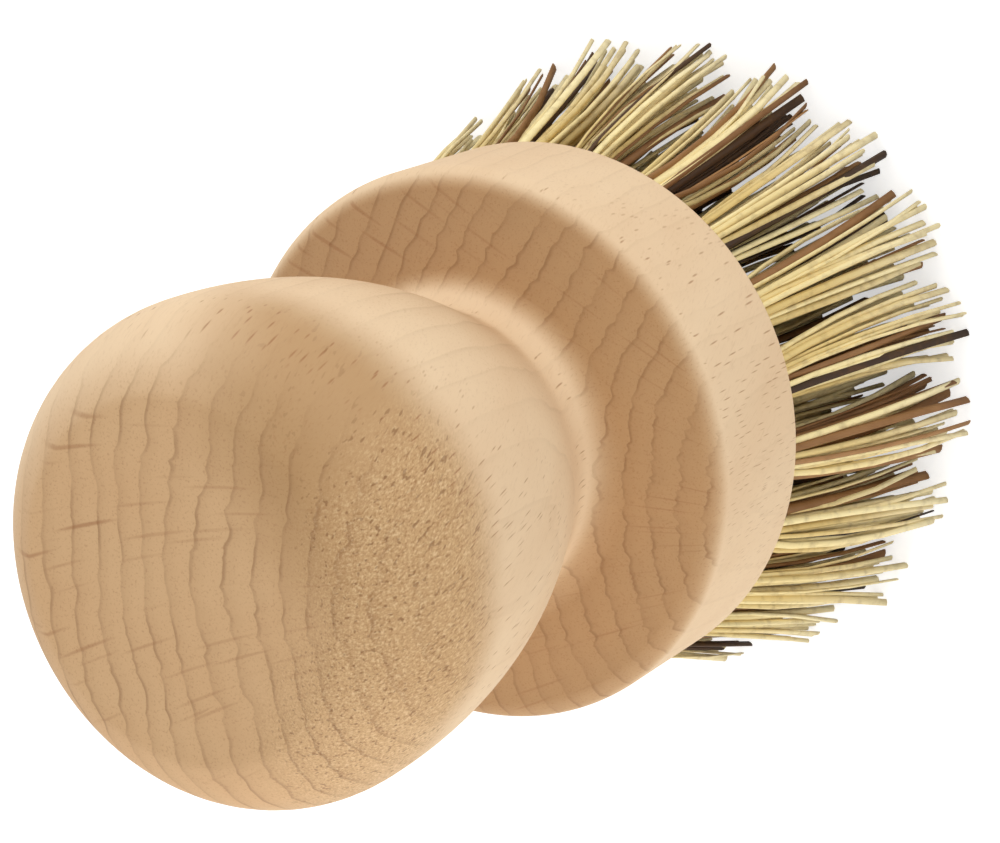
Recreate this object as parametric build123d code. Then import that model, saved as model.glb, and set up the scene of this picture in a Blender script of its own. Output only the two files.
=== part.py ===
from build123d import *
import math
import os
import random

os.makedirs("parts", exist_ok=True)

# Palm brush. A knob, neck and round head are turned from one piece of beech.
# Tufts of plant fibre are folded round flat wire anchors in blind holes drilled into the
# face of the head. Millimetres, standing on the bristle tips at z = 0, turned about Z.

# Turned beech body
head_diameter = 50.0
head_thickness = 15.0
handle_height = 41.5
knob_diameter = 41.4
knob_crown_depth = 9.6
knob_end_diameter = 28.8
neck_diameter = 27.6
neck_fillet = 2.8
shoulder_rise = 0.9
rim_rounding = 2.0
face_rounding = 0.6

# Shares that draw the two swept curves of the knob
end_curve_out_share = 0.55
end_curve_drop_share = 0.125
crown_curve_share = 0.48
belly_curve_share = 0.60
waist_curve_share = 0.10

# Bristles below the head
bristle_length = 25.0
tip_trim_depth = 0.5
tip_unevenness = 4.6
long_strand_share = 0.4

# Drilled holes and the flat wire anchors driven across them
hole_diameter = 4.2
hole_depth = 8.0
anchor_thickness = 0.4
anchor_height = 2.0
anchor_bite = 0.35
fold_thickness = 1.2
anchor_clearance = 0.03
tuft_clearance = 0.05
cut_overrun = 2.0

# Rings of tufts: how many in each, and how far they lean out, in degrees
outer_tufts = 20
middle_tufts = 14
inner_tufts = 8
outer_lean = 15.5
middle_lean = 9.8
inner_lean = 5.0
outer_phase = 2.0
middle_phase = 10.0
inner_phase = 0.0
rim_to_outer_ring = 4.0
outer_to_middle_ring = 6.0
middle_to_inner_ring = 6.4

# Strands of one tuft: a core of three with seven round it, spreading towards the tips
core_strands = 3
skin_strands = 7
core_circle_share = 0.38
skin_margin = 0.2
first_strand_bearing = 30
tuft_spread_share = 2.25
strand_root_width = 0.72
strand_middle_width = 0.95
strand_tip_width = 0.7
strand_embed = 0.6
plug_recess = 0.9
strand_stray = 0.45
tuft_bow = 0.5
middle_share = 0.5

# Heights and radii that follow
face_height = bristle_length
rim_height = face_height + head_thickness
shoulder_height = rim_height + shoulder_rise
waist_height = shoulder_height + neck_fillet
top_height = rim_height + handle_height
crown_height = top_height - knob_crown_depth
head_radius = head_diameter / 2
knob_radius = knob_diameter / 2
end_radius = knob_end_diameter / 2
neck_radius = neck_diameter / 2
hole_radius = hole_diameter / 2
plug_radius = hole_radius - tuft_clearance
anchor_depth = hole_depth - fold_thickness
anchor_width = hole_diameter + 2 * anchor_bite
skin_circle_radius = plug_radius - strand_root_width / 2 - skin_margin
core_circle_radius = core_circle_share * skin_circle_radius
outer_ring_radius = head_radius - rim_to_outer_ring
middle_ring_radius = outer_ring_radius - outer_to_middle_ring
inner_ring_radius = middle_ring_radius - middle_to_inner_ring


def turned_blank():
    """The body before drilling: half outline, turned about the axis."""
    end = (end_radius, top_height)
    crown = (knob_radius, crown_height)
    waist = (neck_radius, waist_height)
    end_pull = (
        end_radius + end_curve_out_share * (knob_radius - end_radius),
        top_height - end_curve_drop_share * knob_crown_depth,
    )
    crown_pull = (knob_radius, crown_height + (1 - crown_curve_share) * knob_crown_depth)
    belly = crown_height - waist_height
    belly_pull = (knob_radius, crown_height - belly_curve_share * belly)
    waist_pull = (neck_radius, waist_height + waist_curve_share * belly)
    head = FilletPolyline(
        waist,
        (neck_radius, shoulder_height),
        (head_radius, rim_height),
        (head_radius, face_height),
        (0, face_height),
        radius=[neck_fillet, rim_rounding, face_rounding],
    )
    outline = [
        Line((0, top_height), end),
        Bezier(end, end_pull, crown_pull, crown),
        Bezier(crown, belly_pull, waist_pull, waist),
        head,
        Line((0, face_height), (0, top_height)),
    ]
    profile = make_face(Plane.XZ * (Curve() + outline))
    return revolve(profile, Axis.Z)


def hole_plane(ring_radius, lean):
    """The plane of a ring's hole on the +X side, at the middle of its mouth.

    Its z runs out along the tuft and its x round the ring.
    """
    along = Vector(0, 0, -1).rotate(Axis.Y, -lean)
    return Plane(origin=(ring_radius, 0, face_height), x_dir=(0, 1, 0), z_dir=along)


def upright(shape, low, high, plane):
    """Moves a shape made centred on its own z, from low to high along a hole's plane."""
    return plane * Pos(0, 0, (low + high) / 2) * shape


def hole_cut(plane):
    """A blind hole, with the two slits that the anchor's ends cut on the way in."""
    bore = Cylinder(hole_radius, hole_depth + cut_overrun)
    slit_width = anchor_width + 2 * anchor_clearance
    slit_thickness = anchor_thickness + 2 * anchor_clearance
    slit_depth = anchor_depth + anchor_clearance
    slit = Box(slit_width, slit_thickness, slit_depth + cut_overrun)
    return [
        upright(bore, -hole_depth, cut_overrun, plane),
        upright(slit, -slit_depth, cut_overrun, plane),
    ]


def anchor(plane):
    """A short piece of flat wire across the hole, inside the fold of the tuft."""
    wire = Box(anchor_width, anchor_thickness, anchor_height)
    return upright(wire, -anchor_depth, anchor_height - anchor_depth, plane)


def tuft_plug(plane):
    """The packed fold in the hole, open where the anchor passes through it."""
    bottom = tuft_clearance - hole_depth
    core = Cylinder(plug_radius, -plug_recess - bottom)
    opening_low = -anchor_depth - anchor_clearance
    opening_high = anchor_height - anchor_depth + anchor_clearance
    opening = Box(
        hole_diameter + cut_overrun,
        anchor_thickness + 2 * anchor_clearance,
        opening_high - opening_low,
    )
    packed = upright(core, bottom, -plug_recess, plane)
    return packed - upright(opening, opening_low, opening_high, plane)


def strand(plane, bearing, circle_radius, end_height, stray, bow):
    """One four-sided fibre bundle from the plug to its tip, as a loft of three squares."""
    root = Vector(circle_radius, 0, 0).rotate(Axis.Z, bearing)
    tip = root * tuft_spread_share + stray
    rise = tip.Y * plane.y_dir.Z
    length = (end_height - face_height - rise) / plane.z_dir.Z
    start = -plug_recess - strand_embed
    sections = []
    places = [0, middle_share, 1]
    widths = [strand_root_width, strand_middle_width, strand_tip_width]
    for place, width in zip(places, widths):
        centre = root * (1 - place) + tip * place + bow * (4 * place * (1 - place))
        centre = centre + Vector(0, 0, start + (length - start) * place)
        corner = Vector(width / math.sqrt(2), 0, 0)
        corners = [centre + corner.rotate(Axis.Z, bearing + 45 + 90 * side) for side in range(4)]
        sections.append(Wire.make_polygon([plane.from_local_coords(c) for c in corners]))
    return Solid.make_loft(sections, ruled=True)


def tuft(plane, seed):
    """A whole tuft: the plug with its strands fused to it, trimmed level at the floor."""
    draw = random.Random(seed)
    bend = Vector(tuft_bow * draw.uniform(-1, 1), 0, 0).rotate(Axis.Z, draw.uniform(0, 360))
    circles = [(core_strands, core_circle_radius), (skin_strands, skin_circle_radius)]
    strands = []
    for count, radius in circles:
        for number in range(count):
            bearing = first_strand_bearing + 360 * number / count
            cut_short = max(0, draw.random() - long_strand_share) / (1 - long_strand_share)
            end_height = cut_short * tip_unevenness - tip_trim_depth
            stray = Vector(strand_stray * draw.random(), 0, 0).rotate(Axis.Z, draw.uniform(0, 360))
            strands.append(strand(plane, bearing, radius, end_height, stray, bend))
    whole = tuft_plug(plane).fuse(*strands)
    width = 2 * (head_diameter + bristle_length)
    below = Pos(0, 0, -width / 2) * Box(width, width, width)
    return whole - below


rings = [
    ("outer", outer_tufts, outer_ring_radius, outer_lean, outer_phase),
    ("middle", middle_tufts, middle_ring_radius, middle_lean, middle_phase),
    ("inner", inner_tufts, inner_ring_radius, inner_lean, inner_phase),
    ("centre", 1, 0, 0, 0),
]

hole_cuts = []
for ring_number, (ring, count, ring_radius, lean, phase) in enumerate(rings):
    plane = hole_plane(ring_radius, lean)
    # Tufts that face each other across the brush are alike, so that it stands in balance.
    kinds = max(1, count // 2)
    tufts = [tuft(plane, 100 * ring_number + kind) for kind in range(kinds)]
    anchors = []
    for number in range(count):
        turn = Rot(Z=phase + 360 * number / count)
        name = f"tuft_{ring}_{number + 1:02d}" if count > 1 else f"tuft_{ring}"
        export_step(turn * tufts[number % kinds], f"parts/{name}.step")
        anchors.append(turn * anchor(plane))
        hole_cuts.extend(turn * cut for cut in hole_cut(plane))
    export_step(Compound(anchors), f"parts/tuft_anchors_{ring}.step")

# The wood is one piece. Its handle and its head are kept as two solids that meet face to
# face at the height where the neck runs into the shoulder, so that each is a simple form.
blank = turned_blank()
shoulder_plane = Plane.XY.offset(shoulder_height)
turned_handle = split(blank, shoulder_plane, keep=Keep.TOP)
turned_head = split(blank, shoulder_plane, keep=Keep.BOTTOM) - hole_cuts
export_step(turned_handle, "parts/turned_handle.step")
export_step(turned_head, "parts/turned_head.step")
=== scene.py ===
import bpy
import math
import random
from mathutils import Matrix, Vector


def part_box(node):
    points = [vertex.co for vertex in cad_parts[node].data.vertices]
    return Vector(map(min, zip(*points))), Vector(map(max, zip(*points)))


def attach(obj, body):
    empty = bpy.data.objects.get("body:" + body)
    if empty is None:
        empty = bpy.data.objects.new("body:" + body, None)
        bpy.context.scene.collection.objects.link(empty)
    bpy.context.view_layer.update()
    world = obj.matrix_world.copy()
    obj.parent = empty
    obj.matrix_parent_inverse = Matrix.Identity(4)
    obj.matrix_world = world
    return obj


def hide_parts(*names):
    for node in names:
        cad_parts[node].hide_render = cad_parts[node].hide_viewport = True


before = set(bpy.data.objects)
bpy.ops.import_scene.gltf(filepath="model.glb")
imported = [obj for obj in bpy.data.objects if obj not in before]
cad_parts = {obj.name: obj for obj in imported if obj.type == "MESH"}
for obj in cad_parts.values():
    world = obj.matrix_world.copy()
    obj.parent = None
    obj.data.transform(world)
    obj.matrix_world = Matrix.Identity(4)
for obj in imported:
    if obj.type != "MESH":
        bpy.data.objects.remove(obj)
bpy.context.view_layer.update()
bpy.ops.object.select_all(action="DESELECT")

# Turned body. The knob, the neck and the round head are one piece of beech, turned with
# the grain along the axis, sanded and left bare. The outline runs from the flat end of
# the knob down to the face that the tufts come out of.
mm = 0.001
head_low, head_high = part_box("turned_head")
face_height = head_low[2]
head_radius = head_high[0]
top_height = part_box("turned_handle")[1][2]
head_thickness = 15.0 * mm
shoulder_rise = 0.9 * mm
rim_rounding = 2.0 * mm
face_rounding = 0.6 * mm
neck_radius = 13.8 * mm
neck_fillet = 2.8 * mm
knob_radius = 20.7 * mm
knob_crown_depth = 9.6 * mm
end_radius = 14.4 * mm
rim_height = face_height + head_thickness
shoulder_height = rim_height + shoulder_rise
waist_height = shoulder_height + neck_fillet
crown_height = top_height - knob_crown_depth

# Shares that draw the two swept curves of the knob
end_curve_out_share = 0.55
end_curve_drop_share = 0.125
crown_curve_share = 0.52
belly_curve_share = 0.60
waist_curve_share = 0.10

# How finely the outline is drawn and turned, the narrow band that keeps the shading of a
# flat face apart from that of the rounding beside it, and the angle under which faces are
# shaded as one
crown_steps = 16
belly_steps = 30
fillet_steps = 8
face_steps = 5
body_sides = 160
edge_band = 0.5 * mm
smooth_below = math.radians(35)


def swept(start, pull_start, pull_end, end, steps):
    """Points along a cubic curve in the outline's plane, without its first point."""
    points = []
    for step in range(1, steps + 1):
        t = step / steps
        s = 1 - t
        shares = (s ** 3, 3 * s * s * t, 3 * s * t * t, t ** 3)
        corners = (start, pull_start, pull_end, end)
        points.append(sum((c * share for c, share in zip(corners, shares)), Vector((0, 0))))
    return points


def rounded(before, corner, after, radius, steps):
    """Points along an arc of the given radius that takes the place of a corner."""
    arrive = (corner - before).normalized()
    leave = (after - corner).normalized()
    turn = arrive.angle(leave)
    first = corner - arrive * radius * math.tan(turn / 2)
    last = corner + leave * radius * math.tan(turn / 2)
    inward = (leave - arrive).normalized()
    centre = corner + inward * radius / math.cos(turn / 2)
    points = []
    for step in range(steps + 1):
        flat = first.lerp(last, step / steps) - centre
        points.append(centre + flat.normalized() * radius)
    return points


belly = crown_height - waist_height
crown = Vector((knob_radius, crown_height))
waist = Vector((neck_radius, waist_height))
end_edge = Vector((end_radius, top_height))
end_out = end_curve_out_share * (knob_radius - end_radius)
end_drop = end_curve_drop_share * knob_crown_depth
end_pull = end_edge + Vector((end_out, -end_drop))
crown_pull = crown + Vector((0, crown_curve_share * knob_crown_depth))
belly_pull = crown - Vector((0, belly_curve_share * belly))
waist_pull = waist + Vector((0, waist_curve_share * belly))
neck_root = Vector((neck_radius, shoulder_height))
rim_top = Vector((head_radius, rim_height))
rim_foot = Vector((head_radius, face_height))
face_middle = Vector((0, face_height))

outline = [end_edge - Vector((edge_band, 0)), end_edge]
outline += swept(end_edge, end_pull, crown_pull, crown, crown_steps)
outline += swept(crown, belly_pull, waist_pull, waist, belly_steps)
outline += rounded(waist, neck_root, rim_top, neck_fillet, fillet_steps)
outline += rounded(neck_root, rim_top, rim_foot, rim_rounding, fillet_steps)
outline += rounded(rim_top, rim_foot, face_middle, face_rounding, face_steps)
outline += [Vector((head_radius - face_rounding - edge_band, face_height))]

first = outline[0]
bpy.ops.mesh.primitive_circle_add(
    vertices=body_sides, radius=first.x, fill_type="NGON", location=(0, 0, first.y)
)
body = bpy.context.object
body.name = "beech_body"
bpy.ops.object.transform_apply(location=True)
bpy.ops.object.mode_set(mode="EDIT")
bpy.ops.mesh.select_mode(type="FACE")
bpy.ops.mesh.select_all(action="SELECT")
for above, below in zip(outline, outline[1:]):
    bpy.ops.mesh.extrude_region_move(
        TRANSFORM_OT_translate={"value": (0, 0, below.y - above.y)}
    )
    grow = below.x / above.x
    bpy.ops.transform.resize(value=(grow, grow, 1), center_override=(0, 0, below.y))
bpy.ops.mesh.select_all(action="SELECT")
bpy.ops.mesh.normals_make_consistent(inside=False)
bpy.ops.object.mode_set(mode="OBJECT")

# Drilled holes. Each tuft has its own blind hole, which leans outwards with the tuft, in
# three rings and one in the centre. One drill is copied to every place, and all of them
# are cut out of the body at once.
hole_radius = 2.1 * mm
hole_depth = 8.0 * mm
drill_overrun = 2.0 * mm
hole_sides = 28
rim_to_outer_ring = 4.0 * mm
outer_to_middle_ring = 6.0 * mm
middle_to_inner_ring = 6.4 * mm
outer_ring_radius = head_radius - rim_to_outer_ring
middle_ring_radius = outer_ring_radius - outer_to_middle_ring
inner_ring_radius = middle_ring_radius - middle_to_inner_ring

# Each ring's name, number of holes and radius, and its lean outwards and turn in degrees
rings = [
    ("outer", 20, outer_ring_radius, 15.5, 2.0),
    ("middle", 14, middle_ring_radius, 9.8, 10.0),
    ("inner", 8, inner_ring_radius, 5.0, 0.0),
    ("centre", 1, 0.0, 0.0, 0.0),
]


def hole_places():
    """Every tuft's node and the place of its hole: z out along the tuft, x round the ring."""
    places = {}
    for ring, count, radius, lean, phase in rings:
        for number in range(count):
            name = f"tuft_{ring}_{number + 1:02d}" if count > 1 else f"tuft_{ring}"
            turn = Matrix.Rotation(math.radians(phase + 360 * number / count), 4, "Z")
            tip_over = Matrix.Rotation(math.radians(-lean), 4, "Y")
            mouth = Matrix.Translation((radius, 0, face_height))
            axes = Matrix(((0, 1, 0, 0), (1, 0, 0, 0), (0, 0, -1, 0), (0, 0, 0, 1)))
            places[name] = turn @ mouth @ tip_over @ axes
    return places


holes = hole_places()
bpy.ops.mesh.primitive_cylinder_add(
    vertices=hole_sides,
    radius=hole_radius,
    depth=hole_depth + drill_overrun,
    location=(0, 0, (drill_overrun - hole_depth) / 2),
)
drill = bpy.context.object
bpy.ops.object.transform_apply(location=True)
drills = []
for place in holes.values():
    copy = drill.copy()
    copy.data = drill.data.copy()
    copy.data.transform(place)
    bpy.context.scene.collection.objects.link(copy)
    drills.append(copy)
bpy.data.objects.remove(drill)
bpy.ops.object.select_all(action="DESELECT")
for copy in drills:
    copy.select_set(True)
bpy.context.view_layer.objects.active = drills[0]
bpy.ops.object.join()
all_drills = bpy.context.object
bpy.ops.object.select_all(action="DESELECT")
body.select_set(True)
bpy.context.view_layer.objects.active = body
drilling = body.modifiers.new("drilling", "BOOLEAN")
drilling.operation = "DIFFERENCE"
drilling.solver = "EXACT"
drilling.object = all_drills
bpy.ops.object.modifier_apply(modifier="drilling")
bpy.data.objects.remove(all_drills)
bpy.ops.object.shade_smooth_by_angle(angle=smooth_below)
body.select_set(False)


# Beech. Growth rings stand about 2.5 mm apart round a pith well outside the brush, thin
# rays cross them, and pores make short streaks along the grain. Where the tool cut across
# the grain the wood is browner, and on one side of the knob its fibres are torn.
class Value:
    """A socket of a finish. Sums with it are worked out by Math nodes."""

    def __init__(self, finish, socket):
        self.finish = finish
        self.socket = socket

    def __add__(self, other):
        return self.finish.maths("ADD", self, other)

    def __sub__(self, other):
        return self.finish.maths("SUBTRACT", self, other)

    def __rsub__(self, other):
        return self.finish.maths("SUBTRACT", other, self)

    def __mul__(self, other):
        return self.finish.maths("MULTIPLY", self, other)

    def __truediv__(self, other):
        return self.finish.maths("DIVIDE", self, other)

    def __rtruediv__(self, other):
        return self.finish.maths("DIVIDE", other, self)

    __radd__ = __add__
    __rmul__ = __mul__


class Finish:
    """The nodes of a material or of the world, which one method sets up and links."""

    def __init__(self, owner, shader="Principled BSDF"):
        owner.use_nodes = True
        self.owner = owner
        self.tree = owner.node_tree
        self.shader = self.tree.nodes[shader]

    def node(self, kind, settings=(), inputs=(), output=0):
        """One output of a new node of a kind, once its settings and inputs are in place."""
        made = self.tree.nodes.new(kind)
        for name, value in dict(settings).items():
            setattr(made, name, value)
        self.feed(made, inputs)
        return Value(self, made.outputs[output])

    def feed(self, made, inputs):
        """Links the inputs that come from another node, and sets the others."""
        for name, value in dict(inputs).items():
            if isinstance(value, Value):
                self.tree.links.new(value.socket, made.inputs[name])
            else:
                made.inputs[name].default_value = value

    def maths(self, operation, *terms):
        return self.node("ShaderNodeMath", {"operation": operation}, enumerate(terms))

    def vector_maths(self, operation, *terms):
        """A vector, or a number where the operation measures something."""
        output = "Value" if operation in ("LENGTH", "DOT_PRODUCT") else "Vector"
        kind = {"operation": operation}
        return self.node("ShaderNodeVectorMath", kind, enumerate(terms), output)

    def vector(self, x, y, z):
        return self.node("ShaderNodeCombineXYZ", (), {"X": x, "Y": y, "Z": z})

    def split(self, vector):
        """The three parts of a vector."""
        return [self.node("ShaderNodeSeparateXYZ", (), {0: vector}, axis) for axis in "XYZ"]

    def blend(self, share, low, high):
        """One colour passing into another as share goes from 0 to 1."""
        colours = {0: share, 6: low, 7: high}
        return self.node("ShaderNodeMix", {"data_type": "RGBA"}, colours, 2)

    def ease(self, value, low, high, start=0.0, end=1.0):
        """start below low, end above high, and a smooth passage between."""
        kind = {"interpolation_type": "SMOOTHSTEP"}
        return self.node("ShaderNodeMapRange", kind, {0: value, 1: low, 2: high, 3: start, 4: end})

    def fade(self, value, low, high):
        """1 below low, 0 above high, and a smooth passage between."""
        return self.ease(value, low, high, 1.0, 0.0)

    def noise(self, where, scale, detail=2.0, roughness=0.5):
        places = {"Vector": where, "Scale": scale, "Detail": detail, "Roughness": roughness}
        return self.node("ShaderNodeTexNoise", (), places)

    def bump(self, strength, distance, height):
        places = {"Strength": strength, "Distance": distance, "Height": height}
        return self.node("ShaderNodeBump", (), places)


def paint(red, green, blue):
    """A colour as it is seen on a screen, 0 to 255, turned into the shader's own scale."""
    return tuple((part / 255) ** 2.2 for part in (red, green, blue)) + (1.0,)


# The tree that the blank was cut from: where its pith stands, how far the grain leans to
# it, aside from it and round it for each millimetre of rise, and its rings and rays.
# Bearings are in degrees, and lengths in millimetres.
pith_bearing = -122.0
pith_distance = 43.0
pith_height = 40.5
lean_towards = 0.15
lean_aside = 0.12
spiral = 0.5
ring_spacing = 2.5
ring_drift = 1.3
ring_ripple = 0.8
ray_slant = 0.006
ray_bearing = 62.0

# The torn side of the knob, and the side where painted shade darkens its crown: their
# bearings, and the distances from the axis and the heights between which they set in
torn_bearing = -134.0
torn_from, torn_to = 11.0, 19.0
side_shade_bearing = -90.0
side_shade_from, side_shade_to = 9.0, 18.0
knob_from, knob_to = 69.0, 76.5

# Colours of the wood. Wood cut across the grain has the shoulder's colour up to one height
# and that of the flat end from another. The shoulder's colour is the end grain's, darkened by
# painted shade under the knob.
shoulder_shade_to, end_colour_from = 45.0, 75.0

along_grain = paint(230, 201, 164)
end_grain = paint(209, 170, 126)
# Painted shade: cut-across wood on the shoulder, darkened under the knob
shoulder_grain_painted_shade = paint(186, 147, 105)
warm_patch = paint(198, 150, 104)
# Painted shade on one side of the knob's crown
side_shade_paint = paint(180, 141, 97)
torn_wood = paint(204, 165, 118)
torn_shadow = paint(138, 92, 48)
torn_light = paint(246, 218, 172)
pit_brown = paint(116, 74, 40)
ring_brown = paint(136, 96, 62)
ray_brown = paint(150, 98, 60)


def beech():
    wood = Finish(bpy.data.materials.new("beech"))
    turn = (0, 0, math.radians(-pith_bearing))
    place = wood.node("ShaderNodeTexCoord", output="Object")
    facing = wood.node("ShaderNodeTexCoord", output="Normal")
    placed = {"Vector": place, "Rotation": turn, "Scale": (1 / mm,) * 3}
    faced = {"Vector": facing, "Rotation": turn}
    out_x, out_y, height = wood.split(wood.node("ShaderNodeMapping", (), placed))
    normal = wood.node("ShaderNodeMapping", {"vector_type": "NORMAL"}, faced)

    # Places in the tree, from its pith, which leans as it rises
    rise = height - pith_height
    towards = out_x - rise * lean_towards
    aside = out_y - rise * lean_aside
    twisted = aside + rise * spiral
    from_pith = pith_distance - towards
    reach = wood.vector_maths("LENGTH", wood.vector(from_pith, aside, 0))
    spread = wood.maths("ARCTAN2", aside, from_pith) * pith_distance

    # How squarely the surface cuts across the grain, and how level it lies
    grain = Vector((lean_towards, lean_aside - spiral, 1)).normalized()
    ends = wood.maths("ABSOLUTE", wood.vector_maths("DOT_PRODUCT", normal, grain))
    cut_across = wood.ease(ends, 0.26, 0.95)
    level = wood.ease(wood.split(facing)[2], 0.8, 0.97)

    # Growth rings: a faint band of late wood in each, and a broken line where it ends
    drift = wood.noise(wood.vector(reach, spread, height * 0.12), scale=0.11)
    ripple = wood.noise(wood.vector(reach * 0.2, spread, height * 0.12), scale=0.42, detail=1.0)
    wander = (drift - 0.5) * ring_drift + wood.maths("ABSOLUTE", ripple - 0.5) * ring_ripple
    phase = wood.maths("FRACT", reach / ring_spacing + wander)
    late = wood.ease(phase, 0.3, 0.93) * wood.fade(phase, 0.95, 1.0)
    line = wood.ease(phase, 0.8, 0.94) * wood.fade(phase, 0.95, 0.995)
    broken = wood.noise(wood.vector(reach * 0.4, spread, height * 0.2), scale=0.3, detail=3.0)
    ring_line = late * 0.3 + line * wood.ease(broken, 0.34, 0.68, 0.15, 1.0)

    def side(bearing):
        """How far out a point lies on the side that faces a bearing."""
        away = math.radians(bearing - pith_bearing)
        return out_x * math.cos(away) + out_y * math.sin(away)

    fanned = spread + rise * spiral - rise * towards * ray_slant

    def rays(apart, half_size, seed):
        """Thin upright lenses. Both sizes run out from the pith, round it and up."""
        spaced = [part / gap for part, gap in zip((reach, fanned, height), apart)]
        cells = wood.vector(spaced[0] + seed, *spaced[1:])
        scattered = {"voronoi_dimensions": "3D", "feature": "F1"}
        inputs = {"Vector": cells, "Scale": 1.0}
        middle = wood.node("ShaderNodeTexVoronoi", scattered, inputs, "Position")
        stretch = [gap / half for gap, half in zip(apart, half_size)]
        off = wood.vector_maths("SUBTRACT", cells, middle)
        off = wood.vector_maths("MULTIPLY", off, stretch)
        return wood.fade(wood.vector_maths("LENGTH", off), 0.3, 1.0)

    # Rays: long ones on level faces, strong on one side, and short ones on upright faces
    uneven = wood.noise(wood.vector(reach * 0.15, spread * 0.4, height * 0.2), scale=0.3)
    strong = wood.ease(uneven, 0.34, 0.6) * 0.6 + wood.ease(side(ray_bearing), 0.0, 9.0) * 0.7
    long_rays = rays((8.0, 1.5, 3.2), (4.0, 0.19, 1.6), seed=0.0) * strong * level
    short_rays = rays((0.6, 0.7, 2.4), (0.132, 0.11, 1.08), seed=7.3) * wood.fade(ends, 0.12, 0.36)
    ray = wood.maths("MAXIMUM", long_rays, short_rays)

    # Pores, warm patches, the torn side of the knob, and painted shade on one side of its crown
    pores = wood.noise(wood.vector(towards, twisted, height * 0.16), 5.0, 3.0, roughness=0.6)
    warmth = wood.noise(wood.vector(towards, twisted, height * 0.35), scale=0.13)
    on_knob = wood.ease(height + drift * 4, knob_from, knob_to)
    torn = wood.ease(side(torn_bearing) + drift * 6, torn_from, torn_to) * on_knob
    # Painted shade on one side of the knob's crown
    side_shade = wood.ease(side(side_shade_bearing) + drift * 6, side_shade_from, side_shade_to) * on_knob
    fuzz = wood.noise(wood.vector(towards, twisted, height * 0.5), 5.2, 3.0, roughness=0.7)
    pits = wood.noise(wood.vector(towards, twisted, height * 0.25), scale=2.8, detail=1.0)
    pits = wood.ease(pits, 0.62, 0.72) * wood.ease(torn + side_shade * 0.4, 0.1, 0.8)

    # Colours that lie one over the other, each with its share
    layers = [
        ((warmth - 0.35) * 0.5, warm_patch),
        # Painted shade on one side of the knob's crown
        (side_shade * 0.9, side_shade_paint),
        (torn * 0.6, torn_wood),
        (ring_line * (0.06 + 0.36 * cut_across), ring_brown),
        (ray * (0.6 - 0.16 * cut_across), ray_brown),
        (wood.ease(pores, 0.52, 0.72) * (0.10 + 0.22 * cut_across), ray_brown),
        (wood.ease(fuzz, 0.52, 0.68) * torn * 0.5, torn_shadow),
        (wood.ease(1 - fuzz, 0.5, 0.66) * torn * 0.42, torn_light),
        (pits * 0.5, pit_brown),
    ]
    # Cut-across wood grows darker from the flat end down to the shoulder, as painted shade under
    # the knob
    above_shoulder_shade = wood.ease(height, shoulder_shade_to, end_colour_from)
    across_grain_and_shoulder_shade = wood.blend(above_shoulder_shade, shoulder_grain_painted_shade, end_grain)
    colour = wood.blend(cut_across, along_grain, across_grain_and_shoulder_shade)
    for share, over in layers:
        colour = wood.blend(share, colour, over)

    torn_relief = (fuzz * 1.6 - pits * 1.2) * torn
    relief = pores * 0.35 - ray * 0.3 - ring_line * 0.2 + torn_relief
    surface = {
        "Base Color": colour,
        "Roughness": 0.62 + pores * 0.12,
        "Normal": wood.bump(0.4, 0.12 * mm, relief),
        "Specular IOR Level": 0.3,
    }
    wood.feed(wood.shader, surface)
    return wood.owner


body.data.materials.clear()
body.data.materials.append(beech())
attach(body, "root")
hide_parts("turned_handle", "turned_head")

# Anchors. Short pieces of flat wire that lie in the fold of each tuft at the bottom of
# its hole, with both ends in the wood. They keep their solids and get a drawn-wire finish.
wire_shadow = paint(140, 138, 132)
wire_light = paint(196, 194, 186)


def drawn_wire():
    wire = Finish(bpy.data.materials.new("drawn_wire"))
    lines = wire.noise(wire.node("ShaderNodeTexCoord", output="Object"), scale=2600.0)
    surface = {
        "Base Color": wire.blend(lines, wire_shadow, wire_light),
        "Roughness": 0.3 + lines * 0.2,
        "Metallic": 1.0,
    }
    wire.feed(wire.shader, surface)
    return wire.owner


wire_finish = drawn_wire()
for ring, *rest in rings:
    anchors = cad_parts[f"tuft_anchors_{ring}"]
    anchors.data.materials.clear()
    anchors.data.materials.append(wire_finish)

# Tufts. Each is a bundle of stiff plant fibres, folded in half round its anchor so that
# both halves stand out of the hole and spread. Most fibres are straw coloured, some are
# tan and a few are nearly black, and their ends are trimmed unevenly.
anchor_depth = 6.8 * mm
fold_gap = 0.25 * mm
fold_wander = 0.2 * mm
crest_gap = 0.2 * mm
layer_share = 0.5
straight_share = 0.6
bend_out_share = 0.7
bend_depth_share = 0.97

# The fibres of one half of the fold, row by row: how many, and how far from the middle
fibre_rows = [(3, 0.5 * mm), (7, 1.12 * mm), (11, 1.72 * mm)]
place_in_row = (0.3, 0.7)
half_widths = (0.24 * mm, 0.46 * mm)
thickness_shares = (0.4, 0.75)
tan_widening = 1.35
tan_thinning = 0.8
tip_taper = 0.125

# How the free halves spread, stray and end
spread_share = 2.0
fibre_stray = 0.36 * mm
fibre_bow = 0.35 * mm
tuft_bow = 0.4 * mm
tip_clearance = 0.25 * mm
tip_unevenness = 4.4 * mm
full_length_share = 0.3
unevenness_power = 1.3

# Tones of the fibres. About one tuft in four has a patch of dark ones.
straw_tone, tan_tone, dark_tone = 0.0, 0.5, 1.0
tan_share = 0.2
dark_share = 0.07
dark_patch_out = 1.3 * mm
dark_patch_reaches = (0, 0, 0, 0.6 * mm)

# Stations along one fibre, tip to tip, with the free halves before and after the fold
free_steps = 4
fold_steps = 6
fibre_sides = 6
last_station = 2 * free_steps + fold_steps

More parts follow.
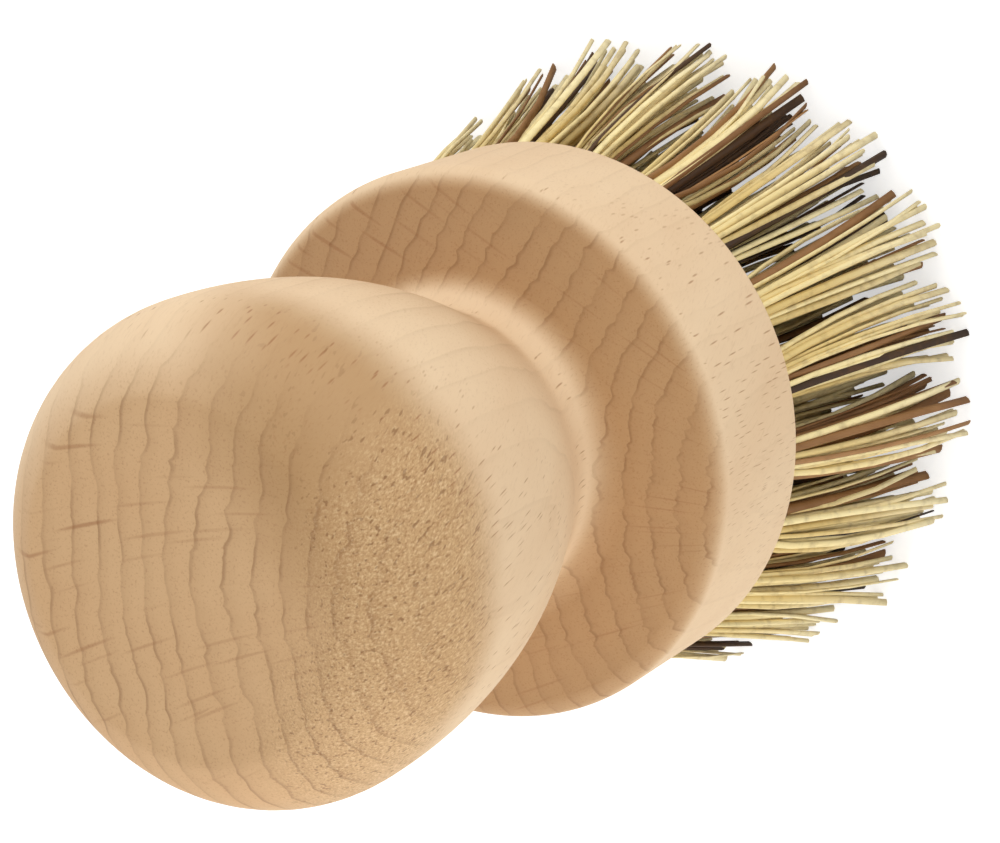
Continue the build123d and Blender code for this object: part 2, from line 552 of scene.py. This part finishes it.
bpy.ops.mesh.primitive_cylinder_add(
    vertices=fibre_sides, radius=1, depth=last_station, location=(0, 0, last_station / 2)
)
rod = bpy.context.object
bpy.ops.object.transform_apply(location=True)
bpy.ops.object.mode_set(mode="EDIT")
for station in range(1, last_station):
    bpy.ops.mesh.select_all(action="SELECT")
    bpy.ops.mesh.bisect(plane_co=(0, 0, station), plane_no=(0, 0, 1))
bpy.ops.object.mode_set(mode="OBJECT")
rod_points = [(v.co.x, v.co.y, round(v.co.z)) for v in rod.data.vertices]
rod_faces = [tuple(face.vertices) for face in rod.data.polygons]
bpy.data.objects.remove(rod)


def scatter(draw, spread):
    """A random shift across the tuft."""
    return Vector((draw.gauss(0, spread), draw.gauss(0, spread), 0))


def free_half(draw, place, root, bend):
    """Middle line of one half of a fibre, from just past the mouth of the hole to its tip."""
    tip = root * spread_share + scatter(draw, fibre_stray)
    up = place.to_3x3().inverted() @ Vector((0, 0, 1))
    shortfall = max(0.0, draw.random() - full_length_share) ** unevenness_power
    end_height = tip_clearance + shortfall * tip_unevenness
    length = (face_height - end_height + tip.dot(up)) / -up.z
    bow = bend + scatter(draw, fibre_bow)
    line = []
    for step in range(1, free_steps + 1):
        share = step / free_steps
        middle = root.lerp(tip, share) + bow * 4 * share * (1 - share)
        line.append(middle + Vector((0, 0, length * share)))
    return line


def folded_fibre(draw, place, root, bend):
    """Middle line of a whole fibre, tip to tip, and the turn of its section at each point."""
    far_root = Vector((root.x + draw.uniform(-fold_wander, fold_wander), -root.y, 0))
    crest = -anchor_depth - crest_gap - (root.y - fold_gap) * layer_share
    straight = Vector((0, 0, straight_share * crest))
    near = free_half(draw, place, root, bend)
    far = free_half(draw, place, far_root, bend)
    fold = [
        (root, 0),
        (root + straight, 0),
        (Vector((root.x, bend_out_share * root.y, bend_depth_share * crest)), 45),
        (Vector((root.x, 0, crest)), 90),
        (Vector((far_root.x, bend_out_share * far_root.y, bend_depth_share * crest)), 135),
        (far_root + straight, 180),
        (far_root, 180),
    ]
    return [(point, 0) for point in reversed(near)] + fold + [(point, 180) for point in far]


def fibre_skin(place, line, width, thickness, twist):
    """The rod's points laid round the middle line of a fibre."""
    points = []
    for x, y, station in rod_points:
        middle, turn = line[station]
        taper = 1 - tip_taper * abs(2 * station / last_station - 1)
        flat_x = x * width * taper
        flat_y = y * thickness * taper
        across = flat_x * math.cos(twist) - flat_y * math.sin(twist)
        over = flat_x * math.sin(twist) + flat_y * math.cos(twist)
        tilt = math.radians(turn)
        offset = Vector((across, over * math.cos(tilt), -over * math.sin(tilt)))
        points.append(place @ (middle + offset))
    return points


def tuft(name, place, seed):
    """All the fibres of one tuft as one mesh, with each fibre's tone kept on its points."""
    draw = random.Random(seed)
    points, faces, tones = [], [], []
    bend = scatter(draw, tuft_bow)
    dark_side = math.radians(draw.uniform(0, 360))
    dark_middle = Vector((math.cos(dark_side), math.sin(dark_side), 0)) * dark_patch_out
    dark_reach = draw.choice(dark_patch_reaches)
    for count, radius in fibre_rows:
        for number in range(count):
            angle = math.pi * (number + draw.uniform(*place_in_row)) / count
            root = Vector((math.cos(angle), math.sin(angle), 0)) * radius
            root.y = max(root.y, fold_gap)
            line = folded_fibre(draw, place, root, bend)
            dark = (root - dark_middle).length < dark_reach or draw.random() < dark_share
            tan = draw.random() < tan_share
            tone = dark_tone if dark else tan_tone if tan else straw_tone
            width = draw.uniform(*half_widths)
            thickness = width * draw.uniform(*thickness_shares)
            if tan:
                width *= tan_widening
                thickness *= tan_thinning
            twist = draw.uniform(0, math.pi)
            chance = draw.random()
            base = len(points)
            points += fibre_skin(place, line, width, thickness, twist)
            tones += [(tone, chance, station / last_station, 1.0) for _, _, station in rod_points]
            faces += [tuple(base + corner for corner in face) for face in rod_faces]
    mesh = bpy.data.meshes.new(name)
    mesh.from_pydata(points, [], faces)
    shades = mesh.color_attributes.new("fibre_tone", "FLOAT_COLOR", "POINT")
    for corner, tone in zip(shades.data, tones):
        corner.color = tone
    mesh.shade_smooth()
    piece = bpy.data.objects.new(name, mesh)
    bpy.context.scene.collection.objects.link(piece)
    return piece


straw_colours = (paint(218, 189, 120), paint(251, 232, 172))
tan_colours = (paint(104, 66, 36), paint(184, 138, 88))
dark_colours = (paint(36, 25, 18), paint(92, 66, 44))
# Painted light: straw fibres paler towards their free ends
painted_tip_light = paint(249, 236, 194)
worn_brown = paint(120, 84, 46)


def plant_fibre():
    fibre = Finish(bpy.data.materials.new("plant_fibre"))
    tone = fibre.node("ShaderNodeAttribute", {"attribute_name": "fibre_tone"})
    kind, chance, along = [
        fibre.node("ShaderNodeSeparateColor", (), {0: tone}, part)
        for part in ("Red", "Green", "Blue")
    ]
    place = fibre.node("ShaderNodeTexCoord", output="Object")
    to_tip = fibre.maths("ABSOLUTE", along - 0.5) * 2
    grain = fibre.noise(place, scale=900.0, detail=3.0)
    mottle = fibre.noise(place, scale=260.0)
    straw = fibre.blend(chance, *straw_colours)
    # Painted light: straw fibres paler towards their free ends
    straw_lit_to_tips = fibre.blend(fibre.ease(to_tip, 0.6, 1.0) * 0.6, straw, painted_tip_light)
    tan = fibre.blend((mottle + chance) * 0.5, *tan_colours)
    dark = fibre.blend(chance, *dark_colours)
    colour = fibre.blend(fibre.ease(kind, 0.25, 0.45), straw_lit_to_tips, tan)
    colour = fibre.blend(fibre.ease(kind, 0.65, 0.9), colour, dark)
    surface = {
        "Base Color": fibre.blend(fibre.ease(grain, 0.45, 0.8) * 0.35, colour, worn_brown),
        "Roughness": 0.5 + grain * 0.2,
        "Normal": fibre.bump(0.3, 0.1 * mm, grain),
        "Specular IOR Level": 0.35,
    }
    fibre.feed(fibre.shader, surface)
    return fibre.owner


fibre_finish = plant_fibre()
for seed, (node, place) in enumerate(holes.items()):
    piece = tuft(node.replace("tuft", "fibres"), place, seed)
    piece.data.materials.append(fibre_finish)
    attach(piece, "root")
    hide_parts(node)

# Studio. A white floor that keeps the brush's shadow, white walls that glow more near the
# floor than overhead, three large soft lights, and a camera that looks down on the flat
# end of the knob. Its distances are in metres and its powers in watts.
floor_size = 6.0
floor_grey = (0.8, 0.8, 0.8, 1)
floor_glow = 0.55
white = (1, 1, 1, 1)
bpy.ops.mesh.primitive_plane_add(size=floor_size, location=(0, 0, 0))
floor = bpy.context.object
floor.name = "floor"


def floor_paint():
    """Matt paint that looks brighter to the camera than the light that falls on it."""
    ground = Finish(bpy.data.materials.new("floor_paint"))
    seen = ground.node("ShaderNodeLightPath", output="Is Camera Ray")
    plain = ground.node("ShaderNodeBsdfDiffuse", (), {"Color": floor_grey})
    glow = {"Color": white, "Strength": seen * floor_glow}
    lift = ground.node("ShaderNodeEmission", (), glow)
    both = ground.node("ShaderNodeAddShader", (), {0: plain, 1: lift})
    ground.feed(ground.tree.nodes["Material Output"], {"Surface": both})
    return ground.owner


floor.data.materials.append(floor_paint())

glow_at_floor = 1.48
glow_overhead = 0.63


def soft_walls():
    """White to the camera, and a soft light from every side to the brush."""
    bpy.context.scene.world = bpy.data.worlds.new("studio")
    walls = Finish(bpy.context.scene.world, "Background")
    seen = walls.node("ShaderNodeLightPath", output="Is Camera Ray")
    overhead = walls.split(walls.node("ShaderNodeTexCoord", output="Generated"))[2]
    glow = walls.ease(overhead, 0.0, 0.8, glow_at_floor, glow_overhead)
    walls.feed(walls.shader, {"Color": white, "Strength": glow + seen * (1 - glow)})


soft_walls()
light_aim = Vector((0, 0, 0.045))


def soft_light(name, place, size, power):
    """A square lamp that faces the middle of the brush."""
    lamp = bpy.data.lights.new(name, "AREA")
    lamp.size = size
    lamp.energy = power
    holder = bpy.data.objects.new(name, lamp)
    holder.location = place
    holder.rotation_euler = (light_aim - place).to_track_quat("-Z", "Y").to_euler()
    bpy.context.scene.collection.objects.link(holder)


soft_light("key_light", Vector((0.51, -0.21, 0.16)), size=0.3, power=0.75)
soft_light("fill_light", Vector((-0.4, -0.45, 0.25)), size=0.4, power=0.15)
soft_light("low_light", Vector((-0.55, 0.2, 0.2)), size=0.5, power=1.3)

view_target = Vector((1.03 * mm, 0, 33.25 * mm))
view_distance = 250.9 * mm
view_azimuth = math.radians(-0.417)
view_elevation = math.radians(55.57)
view_roll = math.radians(-114.79)
lens = bpy.data.cameras.new("camera")
lens.sensor_fit = "HORIZONTAL"
lens.sensor_width = 36.0
lens.lens = 100.78
lens.clip_start = 0.01
camera = bpy.data.objects.new("camera", lens)
turn = (
    Matrix.Rotation(view_azimuth, 4, "Z")
    @ Matrix.Rotation(math.pi / 2 - view_elevation, 4, "X")
    @ Matrix.Rotation(view_roll, 4, "Z")
)
back = Matrix.Translation((0, 0, view_distance))
camera.matrix_world = Matrix.Translation(view_target) @ turn @ back
bpy.context.scene.collection.objects.link(camera)
bpy.context.scene.camera = camera
bpy.context.scene.view_settings.view_transform = "Standard"

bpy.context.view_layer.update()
